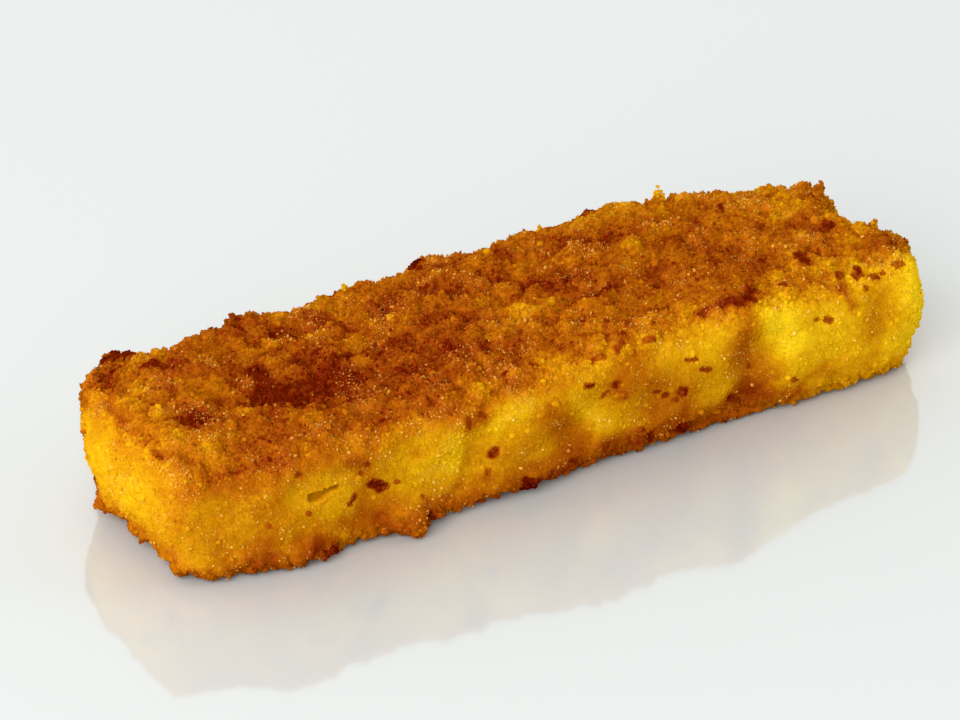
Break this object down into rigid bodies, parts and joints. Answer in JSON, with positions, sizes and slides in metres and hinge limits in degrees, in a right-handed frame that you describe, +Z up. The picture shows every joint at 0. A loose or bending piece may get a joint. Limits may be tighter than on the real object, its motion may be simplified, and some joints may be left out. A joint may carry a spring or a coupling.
{
  "type": "fish stick",
  "caption": "Fried fish stick: a long block with rounded edges in a closed golden crumb crust, browned on top, flat underneath.",
  "frame": {"origin": "middle of the box in X and Y, on the flat underside", "axes": "+X along the stick towards its end with the worn back corner, +Z up out of the underside, -Y out of the front side"},
  "size_m": [0.091, 0.0302, 0.0158],
  "materials": {
    "crumb_crust": "fried fine breadcrumb crust, golden yellow on the sides and orange brown to dark brown on top, rough, with a slight gloss of frying fat"
  },
  "bodies": {
    "root": {"fish_stick": "crumb_crust"}
  },
  "joints": []
}
